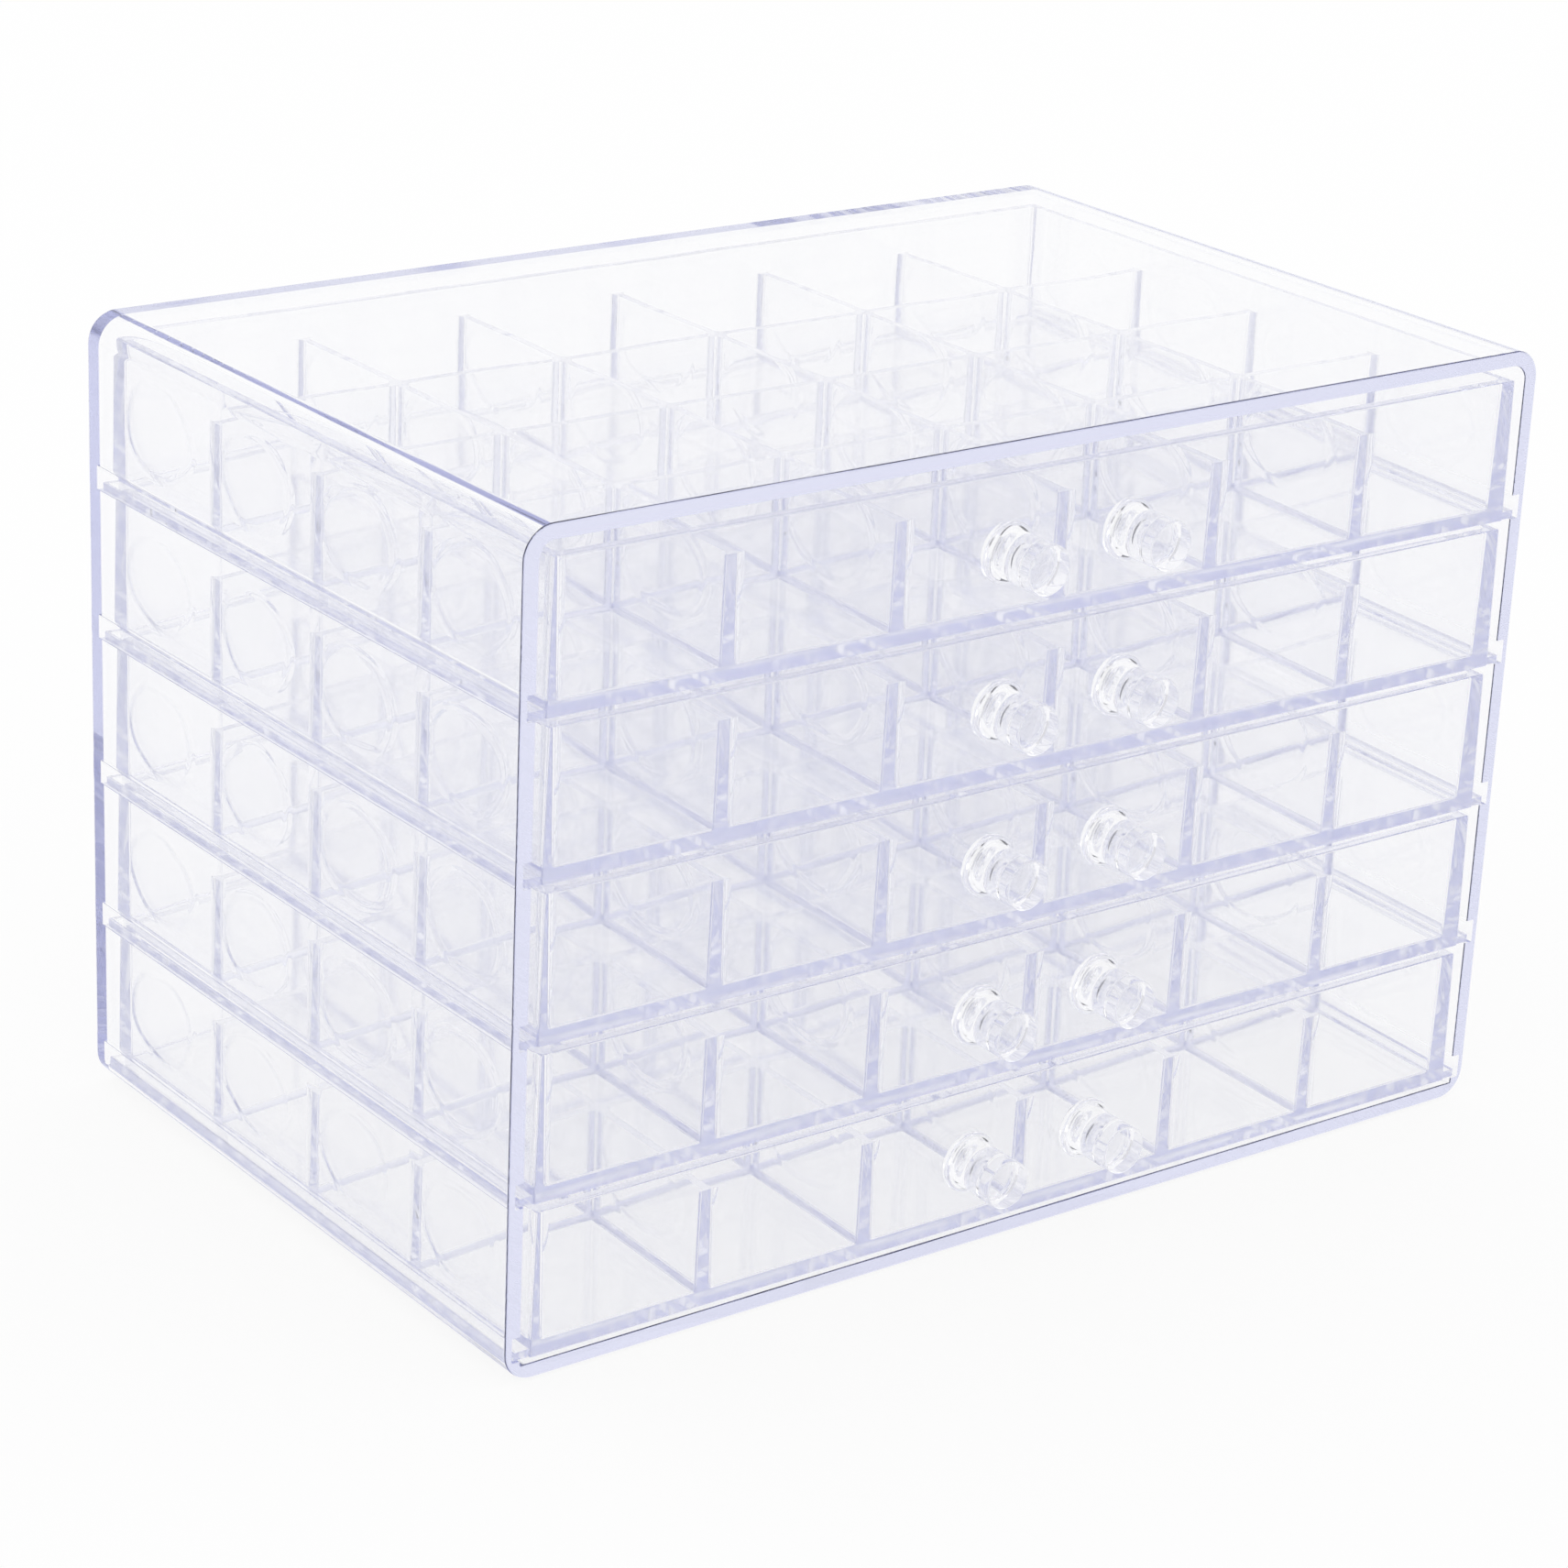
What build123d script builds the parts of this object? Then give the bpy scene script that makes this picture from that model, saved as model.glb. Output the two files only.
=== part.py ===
from build123d import *

import os
from math import radians, tan

# Clear countertop organizer: an open-fronted case with five compartment drawers.
#
# Millimetres, +Z up. The origin is the centre of the case's underside, and the
# drawers pull out towards -Y. Drawers are numbered from the top down. Each one is
# a tray of 24 cells that slides on side tongues in grooves of the case, with two
# turned knobs pegged through its front wall. The tray is moulded in one; here its
# floor, walls and dividers meet face to face, so that each is a convex solid.

# Case
case_width = 235.0
case_depth = 150.0
case_height = 159.0
case_corner = 6.0       # outer radius of the four long edges
side_skin = 1.4         # side wall left behind a groove
rail_stand = 1.9        # how far the rails stand in from that skin
top_wall = 3.0
floor_wall = 3.0
back_wall = 2.0
ceiling_corner = 3.0    # inner radius along the opening's top edges
rim_round = 0.5         # softened edge round the open front

# Grooves, and the room that each drawer gets
drawer_count = 5
groove_height = 4.9
shelf_rise = 1.0        # lowest groove above the case's floor
head_room = 2.8         # above the top drawer
stack_gap = 1.55        # above each other drawer, up to the next one
side_gap = 2.0          # drawer's foot to the rails
tongue_gap = 0.7        # tongue tip to the groove's wall
back_gap = 1.0          # drawer to the case's back wall

# Drawer tray
draft = 1.2             # degrees, mould draft of every upright wall
columns = 6
rows = 4
front_wall = 2.0        # at the rim, thickening downwards by the draft
rear_wall = 2.4
side_wall = 1.8
divider = 1.5           # column and row dividers, carried up to the rim's level
divider_drop = 5.8      # rim down to the dividers' top edges
tray_floor = 2.0
tongue_height = 1.6
tongue_inset = 0.6      # tongues start this far behind the front face
front_round = 0.4       # softened edge round the drawer's front face

# Knobs
knob_spacing = 28.4
knob_level = 13.9       # axis above the drawer's underside
knob_reach = 12.3       # end face in front of the drawer's face
knob_diameter = 9.6
grip_length = 7.5       # the straight cylinder that is held
flange_diameter = 12.0
flange_thickness = 1.2
cone_diameter = 10.6    # where the cone leaves the flange
waist_diameter = 8.2
knob_round = 0.3
peg_diameter = 4.0
peg_fit = 0.05          # radial clearance of the peg in the front wall
peg_head_diameter = 5.4
peg_head_height = 0.8
peg_seat_gap = 0.05     # snap head to the wall's inner face

# Derived sizes of the case
side_wall_total = side_skin + rail_stand
opening_width = case_width - 2 * side_wall_total
opening_height = case_height - top_wall - floor_wall
front_y = -case_depth / 2
inside_depth = case_depth - back_wall
groove_width = case_width - 2 * side_skin
drawer_pitch = (opening_height - shelf_rise - head_room + stack_gap) / drawer_count
shelf_levels = [floor_wall + shelf_rise + drawer_pitch * k for k in range(drawer_count)]

# Derived sizes of the drawer
slope = tan(radians(draft))
drawer_height = drawer_pitch - stack_gap
drawer_depth = inside_depth - back_gap
foot_width = opening_width - 2 * side_gap
rim_width = foot_width - 2 * drawer_height * slope
tongue_width = groove_width - 2 * tongue_gap
basin_width = rim_width - 2 * side_wall
basin_depth = drawer_depth - front_wall - rear_wall
basin_y = (front_wall - rear_wall) / 2
column_pitch = (basin_width + divider) / columns
row_pitch = (basin_depth + divider) / rows
cell_width = column_pitch - divider
cell_depth = row_pitch - divider
cell_height = drawer_height - tray_floor
well_width = basin_width - 2 * cell_height * slope
well_depth = basin_depth - 2 * cell_height * slope
divider_foot = divider + 2 * cell_height * slope
face_y = -drawer_depth / 2
drawer_y = front_y + drawer_depth / 2

# The snap head clears the wall where the draft makes it thickest behind the head
peg_grip = front_wall + (drawer_height - knob_level + peg_head_diameter / 2) * slope


def case():
    """Shell open to the front, with a run of grooves down the inside of both sides."""
    middle_z = floor_wall + opening_height / 2
    with BuildPart() as shell:
        with BuildSketch(Plane.XZ.offset(-front_y)) as outline:
            with Locations((0, case_height / 2)):
                RectangleRounded(case_width, case_height, case_corner)
        extrude(amount=-case_depth)
        rim = shell.faces().sort_by(Axis.Y)[0].edges()
        fillet(rim, rim_round)
        with BuildSketch(Plane.XZ.offset(-front_y)) as opening:
            with Locations((0, middle_z)):
                Rectangle(opening_width, opening_height)
            ceiling = opening.vertices().group_by(Axis.Y)[-1]
            fillet(ceiling, ceiling_corner)
        extrude(amount=-inside_depth, mode=Mode.SUBTRACT)
        with BuildSketch(Plane.XZ.offset(-front_y)) as grooves:
            for level in shelf_levels:
                with Locations((0, level)):
                    Rectangle(groove_width, groove_height, align=(Align.CENTER, Align.MIN))
        extrude(amount=-inside_depth, mode=Mode.SUBTRACT)
    return shell.part


def tray():
    """The whole moulding of a drawer: underside at Z 0, middle of its depth at Y 0."""
    with BuildPart() as body:
        with BuildSketch(Plane.XZ.offset(-face_y)) as section:
            with BuildLine() as outline:
                Polyline(
                    (-foot_width / 2, 0),
                    (foot_width / 2, 0),
                    (rim_width / 2, drawer_height),
                    (-rim_width / 2, drawer_height),
                    close=True,
                )
            make_face()
        extrude(amount=-drawer_depth)
        front_edges = body.faces().sort_by(Axis.Y)[0].edges()
        fillet(front_edges, front_round)
        with BuildSketch(Plane.XZ.offset(-face_y - tongue_inset)) as tongues:
            Rectangle(tongue_width, tongue_height, align=(Align.CENTER, Align.MIN))
        extrude(amount=-(drawer_depth - tongue_inset))
        with BuildSketch(Plane.XY.offset(drawer_height)) as basin:
            with Locations((0, basin_y)):
                Rectangle(basin_width, basin_depth)
        extrude(amount=-divider_drop, taper=draft, mode=Mode.SUBTRACT)
        with BuildSketch(Plane.XY.offset(drawer_height)) as mouths:
            with Locations((0, basin_y)):
                with GridLocations(column_pitch, row_pitch, columns, rows):
                    Rectangle(cell_width, cell_depth)
        extrude(amount=-cell_height, taper=draft, mode=Mode.SUBTRACT)
        with BuildSketch(Plane.XZ.offset(-face_y)) as peg_holes:
            with Locations((-knob_spacing / 2, knob_level), (knob_spacing / 2, knob_level)):
                Circle(peg_diameter / 2 + peg_fit)
        extrude(amount=-(front_wall + cell_depth / 2), mode=Mode.SUBTRACT)
    return body.part


def portion(moulding, x_span, y_span, z_span):
    """The part of the moulding inside a box, given as its low and high X, Y and Z."""
    spans = (x_span, y_span, z_span)
    middle = tuple((low + high) / 2 for low, high in spans)
    size = tuple(high - low for low, high in spans)
    with BuildPart() as piece:
        add(moulding)
        with Locations(middle):
            Box(*size, mode=Mode.INTERSECT)
    return piece.part


def tray_portions(moulding):
    """Floor, walls and dividers of the moulding, parted along the faces they share."""
    outside = foot_width
    full_x = (-outside, outside)
    full_y = (-drawer_depth, drawer_depth)
    inner_x = (-well_width / 2, well_width / 2)
    inner_y = (basin_y - well_depth / 2, basin_y + well_depth / 2)
    above = (tray_floor, 2 * drawer_height)
    below = (-drawer_height, tray_floor)
    column_x = [column_pitch * (i - (columns - 2) / 2) for i in range(columns - 1)]
    row_y = [basin_y + row_pitch * (j - (rows - 2) / 2) for j in range(rows - 1)]
    column_spans = [(x - divider_foot / 2, x + divider_foot / 2) for x in column_x]
    row_spans = [(y - divider_foot / 2, y + divider_foot / 2) for y in row_y]
    strip_lows = [inner_x[0]] + [span[1] for span in column_spans]
    strip_highs = [span[0] for span in column_spans] + [inner_x[1]]
    strips = list(zip(strip_lows, strip_highs))
    return {
        "floor": [portion(moulding, full_x, full_y, below)],
        "front": [portion(moulding, full_x, (full_y[0], inner_y[0]), above)],
        "rear": [portion(moulding, full_x, (inner_y[1], full_y[1]), above)],
        "side_left": [portion(moulding, (full_x[0], inner_x[0]), inner_y, above)],
        "side_right": [portion(moulding, (inner_x[1], full_x[1]), inner_y, above)],
        "column_dividers": [portion(moulding, x, inner_y, above) for x in column_spans],
        "row_dividers": [portion(moulding, x, y, above) for y in row_spans for x in strips],
    }


def knob():
    """Turned knob on the Z axis: Z 0 is the drawer's face, and the peg points down."""
    with BuildPart() as turned:
        with BuildSketch(Plane.XZ) as profile:
            with BuildLine() as half:
                Polyline(
                    (0, -peg_grip - peg_seat_gap - peg_head_height),
                    (peg_head_diameter / 2, -peg_grip - peg_seat_gap - peg_head_height),
                    (peg_head_diameter / 2, -peg_grip - peg_seat_gap),
                    (peg_diameter / 2, -peg_grip - peg_seat_gap),
                    (peg_diameter / 2, 0),
                    (flange_diameter / 2, 0),
                    (flange_diameter / 2, flange_thickness),
                    (cone_diameter / 2, flange_thickness),
                    (waist_diameter / 2, knob_reach - grip_length),
                    (knob_diameter / 2, knob_reach - grip_length),
                    (knob_diameter / 2, knob_reach),
                    (0, knob_reach),
                    close=True,
                )
            make_face()
        revolve(axis=Axis.Z)
        tip = turned.faces().sort_by(Axis.Z)[-1].edges()
        fillet(tip, knob_round)
        flange = turned.edges().filter_by(GeomType.CIRCLE).group_by(SortBy.RADIUS)[-1]
        fillet(flange.sort_by(Axis.Z)[-1], knob_round)
    return turned.part


os.makedirs("parts", exist_ok=True)

shell = case()
shell.label = "case"
export_step(shell, "parts/case.step")

portions = tray_portions(tray())
blank_knob = knob()
for number in range(1, drawer_count + 1):
    level = shelf_levels[drawer_count - number]
    for name, solids in portions.items():
        placed = Compound([Pos(0, drawer_y, level) * solid for solid in solids])
        placed.label = f"drawer_{number}_{name}"
        export_step(placed, f"parts/drawer_{number}_{name}.step")
    for side, x in (("left", -knob_spacing / 2), ("right", knob_spacing / 2)):
        placed_knob = Pos(x, front_y, level + knob_level) * Rot(90, 0, 0) * blank_knob
        placed_knob.label = f"drawer_{number}_knob_{side}"
        export_step(placed_knob, f"parts/drawer_{number}_knob_{side}.step")
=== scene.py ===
"""Clear plastic drawer organizer on a white table, in soft studio light."""
import math

import bpy
from mathutils import Matrix, Vector


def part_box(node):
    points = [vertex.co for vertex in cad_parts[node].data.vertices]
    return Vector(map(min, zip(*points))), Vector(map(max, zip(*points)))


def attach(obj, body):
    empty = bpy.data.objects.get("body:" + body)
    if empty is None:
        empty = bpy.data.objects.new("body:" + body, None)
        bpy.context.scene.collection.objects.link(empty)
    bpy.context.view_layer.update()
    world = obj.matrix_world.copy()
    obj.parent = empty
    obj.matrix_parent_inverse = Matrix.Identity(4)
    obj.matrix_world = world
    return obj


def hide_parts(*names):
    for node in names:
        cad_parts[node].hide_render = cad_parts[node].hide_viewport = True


MM = 0.001

# Case, in millimetres like every size down to the knobs'
CASE_CORNER = 6.0       # outer radius of the four long edges
CEILING_CORNER = 3.0    # inner radius along the opening's top edges
FLOOR_CORNER = 0.2      # and along its bottom edges
RIM_ROUND = 0.5         # softened outer edge round the open front
EDGE_ROUND = 0.4        # softened inner edge there, and a tray's edges
SIDE_SKIN = 1.4         # side wall left behind a groove
SIDE_WALL = 3.3
TOP_WALL = 3.0
BACK_WALL = 2.0
GROOVE_HEIGHT = 4.9

# Drawer trays
DRAWERS = 5
SIDE_GAP = 2.0          # tray's foot to the case's rails
TRAY_WALL = 1.8
FRONT_WALL = 2.0
REAR_WALL = 2.4
TRAY_FLOOR = 2.0
DIVIDER = 1.5
DIVIDER_DROP = 5.8      # rim down to the dividers' top edges
COLUMNS = 6
ROWS = 4
SLOPE = math.tan(math.radians(1.2))     # mould draft of the upright walls
CELL_CORNER = 1.0
CELL_FOOT = 0.8         # round between a cell's floor and its walls
FOOT_ROUND = 0.2        # softened edge under the tray
TONGUE_HEIGHT = 1.6
TONGUE_INSET = 0.6      # tongues start this far behind the front face
SMALL_ROUND = 0.2       # corners of the tongues and the grooves
AIR = 0.04              # left between pieces that touch, so that no faces coincide
OVERSHOOT = 3.0         # how far the cutting shapes stand out of a block
CELL_OVERSHOOT = 2.0

# Knob's outline as (radius, height), from the snap head to the end face. Height 0 is
# the drawer's face.
KNOB_OUTLINE = [
    (2.5, -3.22), (2.7, -3.02), (2.7, -2.55), (2.5, -2.42), (2.0, -2.42),
    (2.0, AIR), (5.85, AIR), (6.0, 0.2), (6.0, 0.9), (5.9, 1.1), (5.7, 1.2),
    (5.3, 1.25), (4.1, 4.7), (4.2, 4.8), (4.6, 4.8), (4.8, 5.0),
    (4.8, 12.0), (4.74, 12.17), (4.63, 12.26), (4.5, 12.3),
]
KNOB_SIDES = 72

# Round shrink marks on the side wall of each cell
PAD_MIDDLE = (0.58, 0.51)   # along and up a cell, as parts of the pitch
PAD_REACH = (12.5, 9.0)     # half length and half height, in millimetres

# Plastic and light
WHITE = (1.0, 1.0, 1.0, 1.0)
TINT = (0.20, 0.25, 0.76, 1.0)  # violet cast, which grows with the depth of plastic
PLASTIC_IOR = 1.57
BOUNCES = 160               # enough for the light to leave every wall of the stack
TABLE_Z = -0.0006           # metres, a little under the case's feet
TABLE_GREY = 0.96
TABLE_SEEN = 0.9            # share of plain white in the table as the picture has it
OBJECT_MIDDLE = (0, 0, 0.1)

# The photograph's camera
PHOTO_PIXELS = 1711
FOCAL_PIXELS = 4837.06
SENSOR_MM = 36.0
EYE = (-0.50165, -0.65115, 0.38313)
EYE_RIGHT = (0.80402113, -0.59302568, 0.04324996)
EYE_UP = (0.18153955, 0.31409288, 0.93187395)


class Socket:
    """A node's output that adds Math nodes when it is used in an expression."""

    def __init__(self, nodes, socket):
        self.nodes = nodes
        self.socket = socket

    def _math(self, operation, *values):
        return self.nodes.add("ShaderNodeMath", values, operation=operation).out()

    def __add__(self, other):
        return self._math("ADD", self, other)

    def __sub__(self, other):
        return self._math("SUBTRACT", self, other)

    def __rsub__(self, other):
        return self._math("SUBTRACT", other, self)

    def __mul__(self, other):
        return self._math("MULTIPLY", self, other)

    def __truediv__(self, other):
        return self._math("DIVIDE", self, other)

    def __pow__(self, other):
        return self._math("POWER", self, other)


class Node:
    """One node, with its outputs by name or place."""

    def __init__(self, nodes, node):
        self.nodes = nodes
        self.node = node

    def out(self, key=0):
        return Socket(self.nodes, self.node.outputs[key])


class Nodes:
    """The node tree of a material, of the world or of a Geometry Nodes modifier."""

    def __init__(self, tree):
        self.tree = tree
        tree.nodes.clear()

    def add(self, kind, inputs=(), **settings):
        """Adds a node: its settings first, then values or links for its inputs."""
        made = self.tree.nodes.new(kind)
        for name, value in settings.items():
            setattr(made, name, value)
        pairs = inputs.items() if isinstance(inputs, dict) else enumerate(inputs)
        for key, value in pairs:
            for each in value if isinstance(value, list) else [value]:
                self._feed(made.inputs[key], each)
        return Node(self, made)

    def _feed(self, socket, value):
        if isinstance(value, Node):
            value = value.out()
        if isinstance(value, Socket):
            self.tree.links.new(value.socket, socket)
        else:
            socket.default_value = value


def shader(owner):
    owner.use_nodes = True
    return Nodes(owner.node_tree)


# ---------------------------------------------------------------- meshes

def ring(half_x, half_y, radii, centre, steps):
    """Points of a rectangle with rounded corners, from its +X +Y corner round."""
    if not isinstance(radii, tuple):
        radii = (radii,) * 4
    signs = ((1, 1), (-1, 1), (-1, -1), (1, -1))
    points = []
    for turn, (sign, radius) in enumerate(zip(signs, radii)):
        for step in range(steps + 1):
            angle = math.radians(90 * (turn + step / steps))
            x = sign[0] * (half_x - radius) + radius * math.cos(angle)
            y = sign[1] * (half_y - radius) + radius * math.sin(angle)
            points.append((centre[0] + x, centre[1] + y))
    return points


def loft(name, rings):
    """A closed mesh through rings of 3-D points in millimetres, capped at both ends."""
    count = len(rings[0])
    vertices = [tuple(c * MM for c in point) for each in rings for point in each]
    faces = [tuple(reversed(range(count)))]
    for level in range(len(rings) - 1):
        low, high = level * count, (level + 1) * count
        for i in range(count):
            j = (i + 1) % count
            faces.append((low + i, low + j, high + j, high + i))
    last = (len(rings) - 1) * count
    faces.append(tuple(range(last, last + count)))
    mesh = bpy.data.meshes.new(name)
    mesh.from_pydata(vertices, [], faces)
    mesh.validate()
    return mesh


def upright(name, levels, steps=4):
    """Lofts rounded rectangles (z, half_x, half_y, radii, centre) up the Z axis."""
    rings = []
    for z, half_x, half_y, radii, centre in levels:
        rings.append([(x, y, z) for x, y in ring(half_x, half_y, radii, centre, steps)])
    return loft(name, rings)


def lengthwise(name, levels, steps):
    """Lofts rounded rectangles (y, half_x, half_z, radii, centre) along the Y axis."""
    rings = []
    for y, half_x, half_z, radii, centre in reversed(levels):
        rings.append([(x, y, z) for x, z in ring(half_x, half_z, radii, centre, steps)])
    return loft(name, rings)


def quarter(radius, steps=3):
    """(along, inset) pairs of a quarter round, from a face's edge into the wall."""
    angles = [math.pi / 2 * i / steps for i in range(steps + 1)]
    return [(radius * (1 - math.cos(a)), radius * (1 - math.sin(a))) for a in angles]


def shown(name, mesh):
    made = bpy.data.objects.new(name, mesh)
    bpy.context.scene.collection.objects.link(made)
    return made


def settled(source, name):
    """The object's mesh with its modifiers applied, as plain data; the object goes."""
    bpy.context.view_layer.update()
    graph = bpy.context.evaluated_depsgraph_get()
    made = bpy.data.meshes.new_from_object(
        source.evaluated_get(graph), preserve_all_data_layers=True, depsgraph=graph
    )
    made.name = name
    source.modifiers.clear()
    bpy.data.objects.remove(source)
    return made


def grown(name, mesh, tree, inputs):
    """The mesh that a Geometry Nodes tree makes of another mesh, as plain data."""
    source = shown(name + "_source", mesh)
    modifier = source.modifiers.new(name, "NODES")
    modifier.node_group = tree
    for item in tree.interface.items_tree:
        if item.in_out == "INPUT" and item.name in inputs:
            modifier[item.identifier] = inputs[item.name]
    return settled(source, name)


def interface(tree, **sockets):
    for name, kind in sockets.items():
        tree.interface.new_socket(
            name.replace("_", " "), in_out="INPUT", socket_type="NodeSocket" + kind
        )
    tree.interface.new_socket(
        "Geometry", in_out="OUTPUT", socket_type="NodeSocketGeometry"
    )


def held(nodes, given, name):
    """The geometry of the object that a tree is given under a name."""
    info = nodes.add("GeometryNodeObjectInfo", {"Object": given.out(name)})
    return info.out("Geometry")


def repeated(nodes, points, shape):
    """A shape put on every point, as one mesh."""
    placed = nodes.add(
        "GeometryNodeInstanceOnPoints", {"Points": points, "Instance": shape}
    )
    return nodes.add("GeometryNodeRealizeInstances", {"Geometry": placed}).out()


def less(nodes, solid, *tools):
    """The solid with the tools taken out of it."""
    return nodes.add(
        "GeometryNodeMeshBoolean",
        {"Mesh 1": solid, "Mesh 2": list(tools)},
        operation="DIFFERENCE",
        solver="MANIFOLD",
    )


def deliver(nodes, given, solid):
    """Ends a tree: the solid as one plain mesh with its material."""
    whole = nodes.add("GeometryNodeRealizeInstances", {"Geometry": solid})
    coated = nodes.add(
        "GeometryNodeSetMaterial", {"Geometry": whole, "Material": given.out("Material")}
    )
    nodes.add("NodeGroupOutput", {"Geometry": coated})


def tray_tree():
    """Joins the tongues to a block and takes the basin and a grid of cells out of it."""
    tree = bpy.data.node_groups.new("moulded_tray", "GeometryNodeTree")
    interface(
        tree, Block="Geometry", Tongues="Object", Basin="Object", Cell="Object",
        Columns="Int", Rows="Int", Column_pitch="Float", Row_pitch="Float",
        Material="Material",
    )
    nodes = Nodes(tree)
    given = nodes.add("NodeGroupInput")
    columns, rows = given.out("Columns"), given.out("Rows")
    grid = nodes.add(
        "GeometryNodeMeshGrid",
        {
            "Size X": (columns - 1.0) * given.out("Column pitch"),
            "Size Y": (rows - 1.0) * given.out("Row pitch"),
            "Vertices X": columns,
            "Vertices Y": rows,
        },
    )
    solid = nodes.add(
        "GeometryNodeMeshBoolean",
        {"Mesh 2": [given.out("Block"), held(nodes, given, "Tongues")]},
        operation="UNION",
        solver="MANIFOLD",
    )
    cells = repeated(nodes, grid, held(nodes, given, "Cell"))
    deliver(nodes, given, less(nodes, solid, held(nodes, given, "Basin"), cells))
    return tree


def case_tree():
    """Takes the opening and a stack of grooves out of the case's block."""
    tree = bpy.data.node_groups.new("grooved_case", "GeometryNodeTree")
    interface(
        tree, Block="Geometry", Opening="Object", Groove="Object", Count="Int",
        Pitch="Vector", Material="Material",
    )
    nodes = Nodes(tree)
    given = nodes.add("NodeGroupInput")
    line = nodes.add(
        "GeometryNodeMeshLine",
        {"Count": given.out("Count"), "Offset": given.out("Pitch")},
    )
    grooves = repeated(nodes, line, held(nodes, given, "Groove"))
    hollow = less(nodes, given.out("Block"), held(nodes, given, "Opening"), grooves)
    deliver(nodes, given, hollow)
    return tree


def finished(mesh, sharp=32.0):
    """Shades the rounds smoothly beside flat faces; edges over the angle stay sharp."""
    source = shown(mesh.name + "_rough", mesh)
    mesh.polygons.foreach_set("use_smooth", [True] * len(mesh.polygons))
    mesh.set_sharp_from_angle(angle=math.radians(sharp))
    level = source.modifiers.new("level", "WEIGHTED_NORMAL")
    level.mode = "FACE_AREA"
    level.keep_sharp = True
    return settled(source, mesh.name)


def millimetres(node):
    low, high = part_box(node)
    return low / MM, high / MM


def tray_nodes(number):
    """The CAD nodes that make up a drawer's moulding, without its knobs."""
    start = f"drawer_{number}_"
    return [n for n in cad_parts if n.startswith(start) and "knob" not in n]


def tray_box(number):
    """Low and high corner of a drawer's moulding."""
    boxes = [millimetres(node) for node in tray_nodes(number)]
    low = Vector(min(box[0][i] for box in boxes) for i in range(3))
    high = Vector(max(box[1][i] for box in boxes) for i in range(3))
    return low, high


def case_mesh(material):
    """The case: one moulding with its opening and a groove for each drawer."""
    low, high = millimetres("case")
    half_x = (high.x - low.x) / 2
    half_z = (high.z - low.z) / 2
    middle = (0, (high.z + low.z) / 2)
    levels = []
    for along, inset in quarter(RIM_ROUND):
        size = (half_x - inset, half_z - inset)
        levels.append((low.y + along, *size, CASE_CORNER - inset, middle))
    levels.append((high.y, half_x, half_z, CASE_CORNER, middle))
    block = lengthwise("case_block", levels, steps=10)

    inner_x = half_x - SIDE_WALL
    inner_z = half_z - TOP_WALL
    flares = [(low.y - OVERSHOOT, EDGE_ROUND)]
    flares += [(low.y + along, inset) for along, inset in quarter(EDGE_ROUND)]
    flares.append((high.y - BACK_WALL, 0.0))
    levels = []
    for y, flare in flares:
        ceiling, floor = CEILING_CORNER + flare, FLOOR_CORNER + flare
        size = (inner_x + flare, inner_z + flare)
        levels.append((y, *size, (ceiling, ceiling, floor, floor), middle))
    opening = shown("case_opening", lengthwise("case_opening", levels, steps=6))

    shelf = tray_box(DRAWERS)[0].z
    pitch = (tray_box(1)[0].z - shelf) / (DRAWERS - 1)
    groove_centre = (0, shelf + GROOVE_HEIGHT / 2)
    size = (half_x - SIDE_SKIN, GROOVE_HEIGHT / 2, SMALL_ROUND, groove_centre)
    levels = [(low.y - OVERSHOOT, *size), (high.y - BACK_WALL, *size)]
    groove = shown("case_groove", lengthwise("case_groove", levels, steps=2))
    mesh = grown(
        "case_shell",
        block,
        case_tree(),
        {
            "Opening": opening,
            "Groove": groove,
            "Count": DRAWERS,
            "Pitch": (0, 0, pitch * MM),
            "Material": material,
        },
    )
    for tool in (opening, groove):
        bpy.data.objects.remove(tool)
    return finished(mesh)


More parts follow.
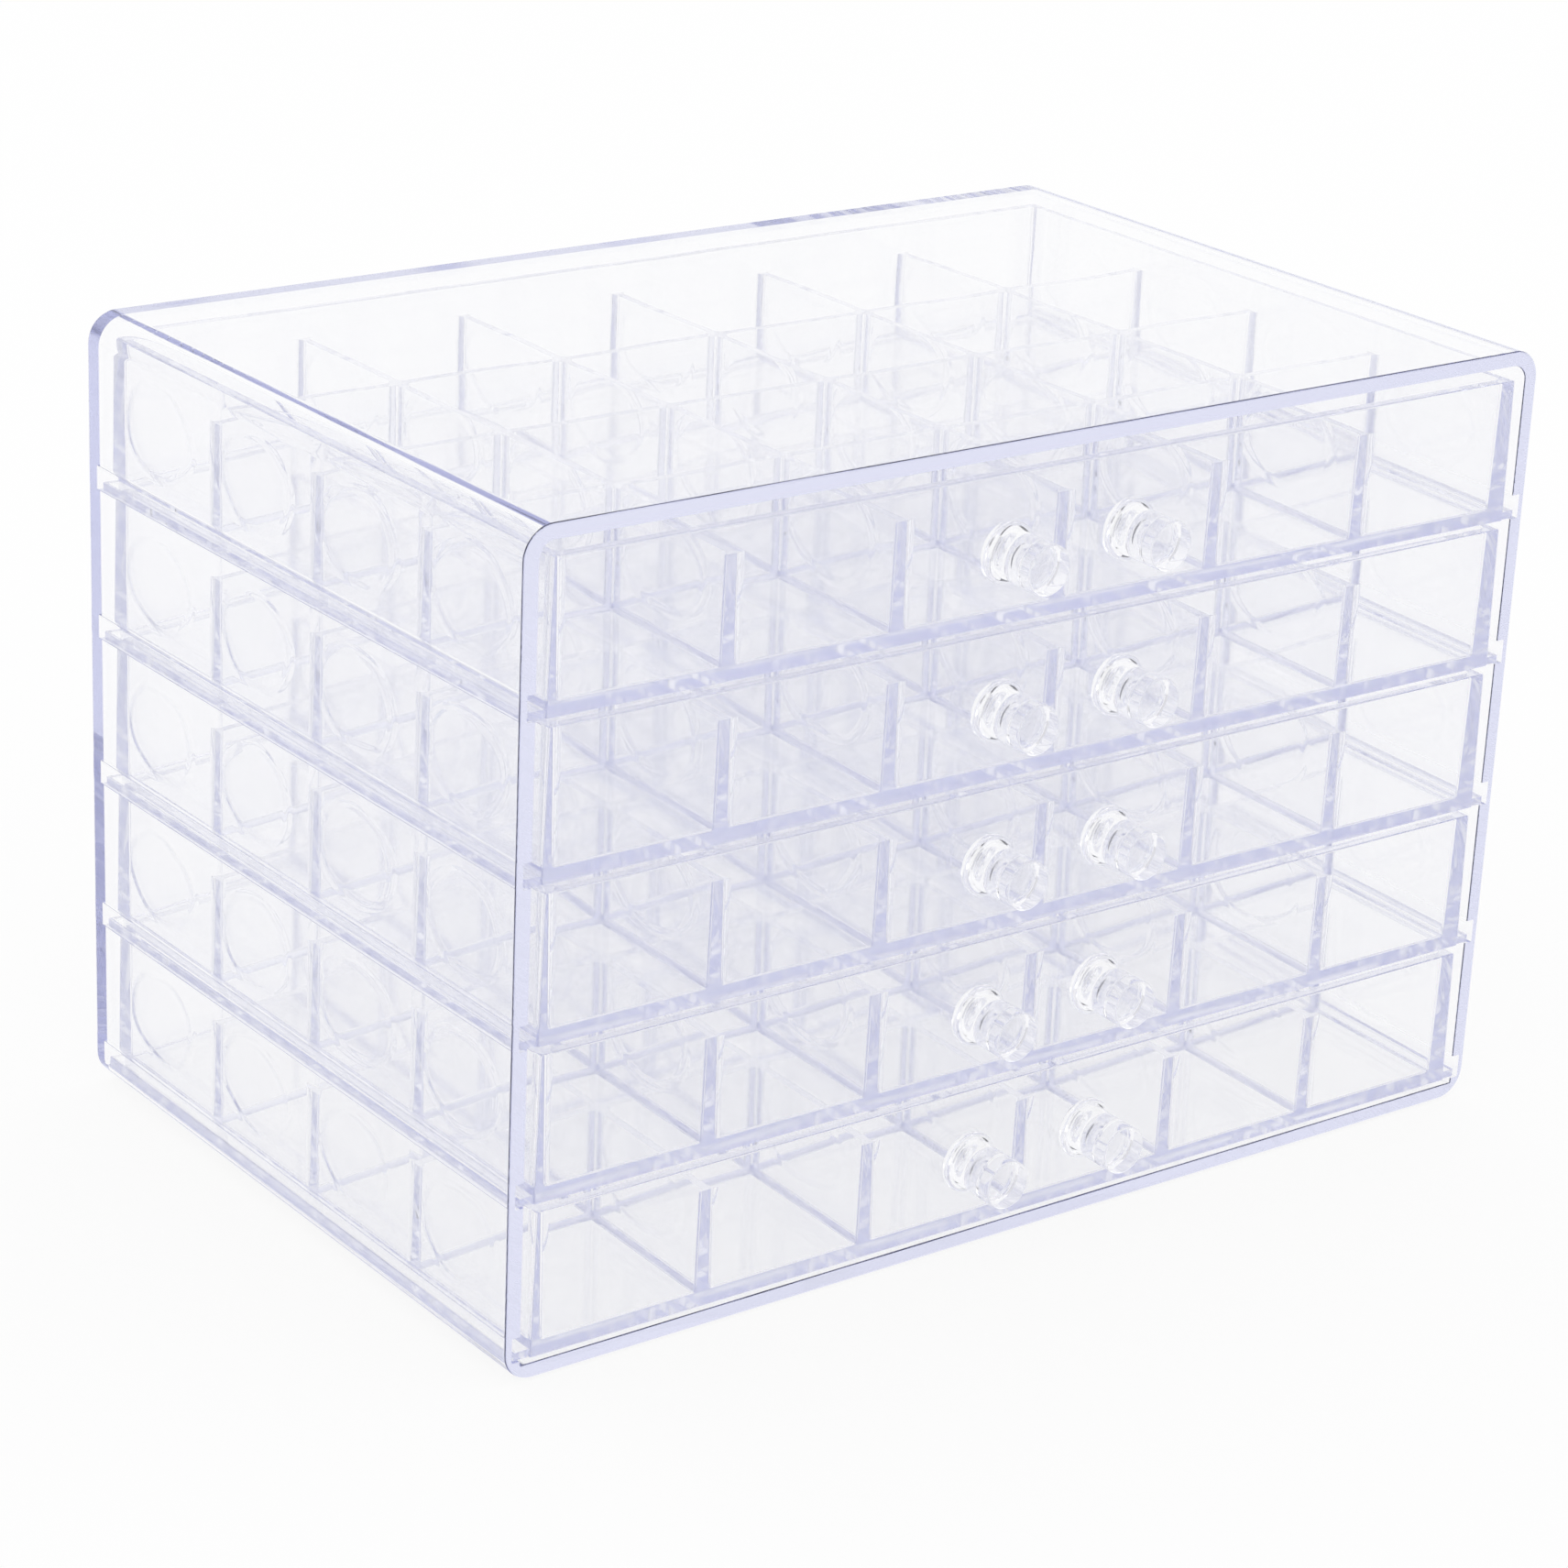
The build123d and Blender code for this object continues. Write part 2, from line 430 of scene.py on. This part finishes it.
def tray_mesh(material):
    """The lowest drawer's tray: one moulding with its tongues, basin and cells."""
    low, high = tray_box(DRAWERS)
    case_low, case_high = millimetres("case")
    height = high.z - low.z
    foot_x = (case_high.x - case_low.x) / 2 - SIDE_WALL - SIDE_GAP
    rim_x = foot_x - height * SLOPE
    half_y = (high.y - low.y) / 2
    centre = (0, (high.y + low.y) / 2)
    levels = []
    for along, inset in quarter(FOOT_ROUND, 2):
        size = (foot_x - inset - along * SLOPE, half_y - inset)
        levels.append((low.z + AIR + along, *size, EDGE_ROUND, centre))
    for along, inset in reversed(quarter(EDGE_ROUND)):
        size = (foot_x - (height - along) * SLOPE - inset, half_y - inset)
        levels.append((high.z - along, *size, EDGE_ROUND, centre))
    block = upright("tray_block", levels)

    tongue_y = (low.y + TONGUE_INSET + high.y) / 2
    half_tongue = (high.y - low.y - TONGUE_INSET) / 2
    size = (high.x, half_tongue, SMALL_ROUND, (0, tongue_y))
    levels = [(low.z + AIR, *size), (low.z + TONGUE_HEIGHT, *size)]
    tongues = upright("tray_tongues", levels, steps=2)

    basin_x = rim_x - TRAY_WALL
    basin_y = half_y - (FRONT_WALL + REAR_WALL) / 2
    basin_centre = (0, centre[1] + (FRONT_WALL - REAR_WALL) / 2)
    depth = height - TRAY_FLOOR
    corner = CELL_CORNER + depth * SLOPE
    levels = []
    for z in (-DIVIDER_DROP, 0, OVERSHOOT):
        shrink = -z * SLOPE
        size = (basin_x - shrink, basin_y - shrink)
        levels.append((high.z + z, *size, corner - shrink, basin_centre))
    basin = upright("tray_basin", levels)

    pitch_x = (2 * basin_x + DIVIDER) / COLUMNS
    pitch_y = (2 * basin_y + DIVIDER) / ROWS
    half_cell = ((pitch_x - DIVIDER) / 2, (pitch_y - DIVIDER) / 2)
    levels = []
    for along, inset in quarter(CELL_FOOT):
        shrink = (depth - along) * SLOPE + inset
        size = (half_cell[0] - shrink, half_cell[1] - shrink)
        levels.append((low.z + TRAY_FLOOR + along, *size, corner - shrink, basin_centre))
    spread = CELL_OVERSHOOT * SLOPE
    size = (half_cell[0] + spread, half_cell[1] + spread)
    levels.append((high.z + CELL_OVERSHOOT, *size, corner, basin_centre))
    cell = upright("tray_cell", levels)
    tools = [shown(mesh.name, mesh) for mesh in (tongues, basin, cell)]
    mesh = grown(
        "tray_moulding",
        block,
        tray_tree(),
        {
            "Tongues": tools[0],
            "Basin": tools[1],
            "Cell": tools[2],
            "Columns": COLUMNS,
            "Rows": ROWS,
            "Column pitch": pitch_x * MM,
            "Row pitch": pitch_y * MM,
            "Material": material,
        },
    )
    for tool in tools:
        bpy.data.objects.remove(tool)
    return finished(mesh)


def knob_mesh(material):
    """A knob turned round Z: Z 0 is the drawer's face and the peg points down."""
    angles = [2 * math.pi * i / KNOB_SIDES for i in range(KNOB_SIDES)]
    rings = []
    for radius, z in KNOB_OUTLINE:
        rings.append([(radius * math.cos(a), radius * math.sin(a), z) for a in angles])
    mesh = loft("knob", rings)
    mesh.materials.append(material)
    return finished(mesh, sharp=40.0)


# ---------------------------------------------------------------- finishes

def cell_pads(nodes, place):
    """0 outside and 1 inside the round shrink marks on the side wall of each cell."""
    low, high = tray_box(DRAWERS)
    pitch = (tray_box(DRAWERS - 1)[0].z - low.z) * MM
    row = (high.y - low.y - FRONT_WALL - REAR_WALL + DIVIDER) / ROWS * MM
    middle = (high.y + low.y + FRONT_WALL - REAR_WALL) / 2 * MM
    split = nodes.add("ShaderNodeSeparateXYZ", {"Vector": place})
    along = nodes.add(
        "ShaderNodeMath", [(split.out("Y") - middle) / row], operation="FRACT"
    )
    up = nodes.add(
        "ShaderNodeMath", [(split.out("Z") - low.z * MM) / pitch], operation="FRACT"
    )
    y = (along.out() - PAD_MIDDLE[0]) * (row / (PAD_REACH[0] * MM))
    z = (up.out() - PAD_MIDDLE[1]) * (pitch / (PAD_REACH[1] * MM))
    wobble = nodes.add(
        "ShaderNodeTexNoise", {"Vector": place, "Scale": 90.0, "Detail": 0.0}
    )
    reach = y * y + z * z + wobble.out("Fac") * 0.5
    pad = nodes.add(
        "ShaderNodeMapRange",
        {
            "Value": reach,
            "From Min": 1.05,
            "From Max": 1.45,
            "To Min": 1.0,
            "To Max": 0.0,
        },
        interpolation_type="SMOOTHSTEP",
    )
    normal = nodes.add("ShaderNodeTexCoord").out("Normal")
    sideways = nodes.add("ShaderNodeSeparateXYZ", {"Vector": normal}).out("X")
    return pad.out("Result") * (sideways * sideways) ** 4.0


def clear_plastic(name, density, wave_mm, gloss_loss, pads_mm=0.0):
    """Clear moulding with faint waves and a tint that grows with the depth of plastic."""
    material = bpy.data.materials.new(name)
    nodes = shader(material)
    place = nodes.add("ShaderNodeTexCoord").out("Object")
    flow = nodes.add(
        "ShaderNodeTexNoise", {"Vector": place, "Scale": 38.0, "Detail": 0.0}
    )
    height = flow.out("Fac") * wave_mm
    if pads_mm:
        height = height + cell_pads(nodes, place) * pads_mm
    bump = nodes.add(
        "ShaderNodeBump", {"Strength": 1.0, "Distance": MM, "Height": height}
    )
    handling = nodes.add(
        "ShaderNodeTexNoise", {"Vector": place, "Scale": 60.0, "Detail": 2.0}
    )
    surface = nodes.add(
        "ShaderNodeBsdfPrincipled",
        {
            "Base Color": WHITE,
            "Roughness": handling.out("Fac") * gloss_loss,
            "IOR": PLASTIC_IOR,
            "Transmission Weight": 1.0,
            "Normal": bump,
        },
    )
    volume = nodes.add("ShaderNodeVolumeAbsorption", {"Color": TINT, "Density": density})
    nodes.add("ShaderNodeOutputMaterial", {"Surface": surface, "Volume": volume})
    return material


def matt(name, colour):
    """Flat colour without gloss, for the cards round the object."""
    material = bpy.data.materials.new(name)
    nodes = shader(material)
    surface = nodes.add("ShaderNodeBsdfDiffuse", {"Color": (*colour, 1.0)})
    nodes.add("ShaderNodeOutputMaterial", {"Surface": surface})
    return material


def glowing(name, strength):
    """White light, found only by the rays that reach it."""
    material = bpy.data.materials.new(name)
    material.cycles.emission_sampling = "NONE"
    nodes = shader(material)
    glow = nodes.add("ShaderNodeEmission", {"Color": WHITE, "Strength": strength})
    nodes.add("ShaderNodeOutputMaterial", {"Surface": glow})
    return material


def table_white():
    """White table that stays white in the picture and keeps a light shadow."""
    material = bpy.data.materials.new("table_white")
    material.cycles.emission_sampling = "NONE"
    nodes = shader(material)
    ray = nodes.add("ShaderNodeLightPath")
    hidden = 1.0 - ray.out("Is Camera Ray")
    for kind in ("Is Glossy Ray", "Is Transmission Ray"):
        hidden = hidden * (1.0 - ray.out(kind))
    share = (1.0 - hidden) * TABLE_SEEN
    lit = nodes.add("ShaderNodeBsdfDiffuse", {"Color": (*[TABLE_GREY] * 3, 1.0)})
    white = nodes.add("ShaderNodeEmission", {"Color": WHITE, "Strength": 1.0})
    surface = nodes.add("ShaderNodeMixShader", [share, lit, white])
    nodes.add("ShaderNodeOutputMaterial", {"Surface": surface})
    return material


# ---------------------------------------------------------------- studio

def panel(name, width, height, centre, facing, material):
    """A rectangle that looks towards a point, with its place in its mesh."""
    mesh = bpy.data.meshes.new(name)
    w, h = width / 2, height / 2
    mesh.from_pydata([(-w, -h, 0), (w, -h, 0), (w, h, 0), (-w, h, 0)], [], [(0, 1, 2, 3)])
    turn = (Vector(facing) - Vector(centre)).to_track_quat("Z", "Y").to_matrix().to_4x4()
    mesh.transform(Matrix.Translation(centre) @ turn)
    mesh.materials.append(material)
    made = shown(name, mesh)
    return made


def studio():
    """White table and surround, with cards and a light that only the plastic shows."""
    world = bpy.data.worlds.new("studio")
    world.cycles.sampling_method = "NONE"
    bpy.context.scene.world = world
    nodes = shader(world)
    background = nodes.add("ShaderNodeBackground", {"Color": WHITE, "Strength": 1.0})
    nodes.add("ShaderNodeOutputWorld", {"Surface": background})

    panel("table", 8.0, 8.0, (0, 0, TABLE_Z), (0, 0, 1), table_white())
    grey = matt("card_grey", (0.72, 0.72, 0.75))
    dark = matt("card_dark", (0.03, 0.03, 0.04))
    bright = glowing("softbox_white", 4.0)
    cards = [
        panel("card_room", 2.6, 1.7, (-1.5, -2.0, 0.95), OBJECT_MIDDLE, grey),
        panel("card_right", 0.6, 1.4, (1.6, -0.5, 0.7), OBJECT_MIDDLE, dark),
        panel("card_left", 0.3, 0.9, (-1.7, 0.5, 0.45), OBJECT_MIDDLE, dark),
        panel("card_front_left", 0.9, 0.9, (-1.79, -1.034, 0.852), OBJECT_MIDDLE, dark),
        panel("card_front_right", 0.45, 0.45, (1.347, -1.347, 1.2), OBJECT_MIDDLE, dark),
        panel("softbox", 0.6, 0.4, (-0.7, -0.7, 1.7), OBJECT_MIDDLE, bright),
    ]
    for card in cards:
        card.visible_camera = False
        card.visible_diffuse = False
        card.visible_shadow = False


def camera():
    """The photograph's viewpoint, left of the front and a little above the top."""
    lens = bpy.data.cameras.new("camera")
    lens.sensor_width = SENSOR_MM
    lens.lens = FOCAL_PIXELS / PHOTO_PIXELS * SENSOR_MM
    lens.clip_start = 0.01
    right, up = Vector(EYE_RIGHT), Vector(EYE_UP)
    back = right.cross(up)
    rows = [(right[i], up[i], back[i], EYE[i]) for i in range(3)]
    view = bpy.data.objects.new("camera", lens)
    view.matrix_world = Matrix((*rows, (0, 0, 0, 1)))
    bpy.context.scene.collection.objects.link(view)
    bpy.context.scene.camera = view


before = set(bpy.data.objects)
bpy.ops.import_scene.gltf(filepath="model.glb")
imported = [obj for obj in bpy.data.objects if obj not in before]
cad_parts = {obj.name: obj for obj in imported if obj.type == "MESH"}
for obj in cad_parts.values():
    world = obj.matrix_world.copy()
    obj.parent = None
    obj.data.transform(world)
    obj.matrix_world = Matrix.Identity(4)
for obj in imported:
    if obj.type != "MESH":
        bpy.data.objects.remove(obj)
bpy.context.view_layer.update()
scene = bpy.context.scene
scene.view_settings.view_transform = "Standard"
scene.cycles.max_bounces = BOUNCES
scene.cycles.transmission_bounces = BOUNCES
scene.cycles.glossy_bounces = BOUNCES
scene.cycles.transparent_max_bounces = 16

case_clear = clear_plastic("case_clear", density=2.2, wave_mm=0.12, gloss_loss=0.02)
tray_clear = clear_plastic(
    "tray_clear", density=3.6, wave_mm=0.12, gloss_loss=0.08, pads_mm=0.11
)
knob_clear = clear_plastic("knob_clear", density=2.0, wave_mm=0.0, gloss_loss=0.01)

shell = shown("case_shell", case_mesh(case_clear))
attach(shell, "case")
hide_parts("case")

blank_tray = tray_mesh(tray_clear)
blank_knob = knob_mesh(knob_clear)
lowest = tray_box(DRAWERS)[0].z
for number in range(1, DRAWERS + 1):
    lift = tray_box(number)[0].z - lowest
    mesh = blank_tray.copy()
    mesh.transform(Matrix.Translation((0, 0, lift * MM)))
    tray = shown(f"tray_{number}_moulding", mesh)
    walls = tray_nodes(number)
    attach(tray, f"drawer_{number}")
    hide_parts(*walls)
    for side in ("left", "right"):
        node = f"drawer_{number}_knob_{side}"
        low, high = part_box(node)
        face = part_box("case")[0].y
        mesh = blank_knob.copy()
        seat = Matrix.Translation(((low.x + high.x) / 2, face, (low.z + high.z) / 2))
        mesh.transform(seat @ Matrix.Rotation(math.radians(90), 4, "X"))
        knob = shown(f"knob_{number}_{side}", mesh)
        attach(knob, f"drawer_{number}")
        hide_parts(node)

studio()
camera()
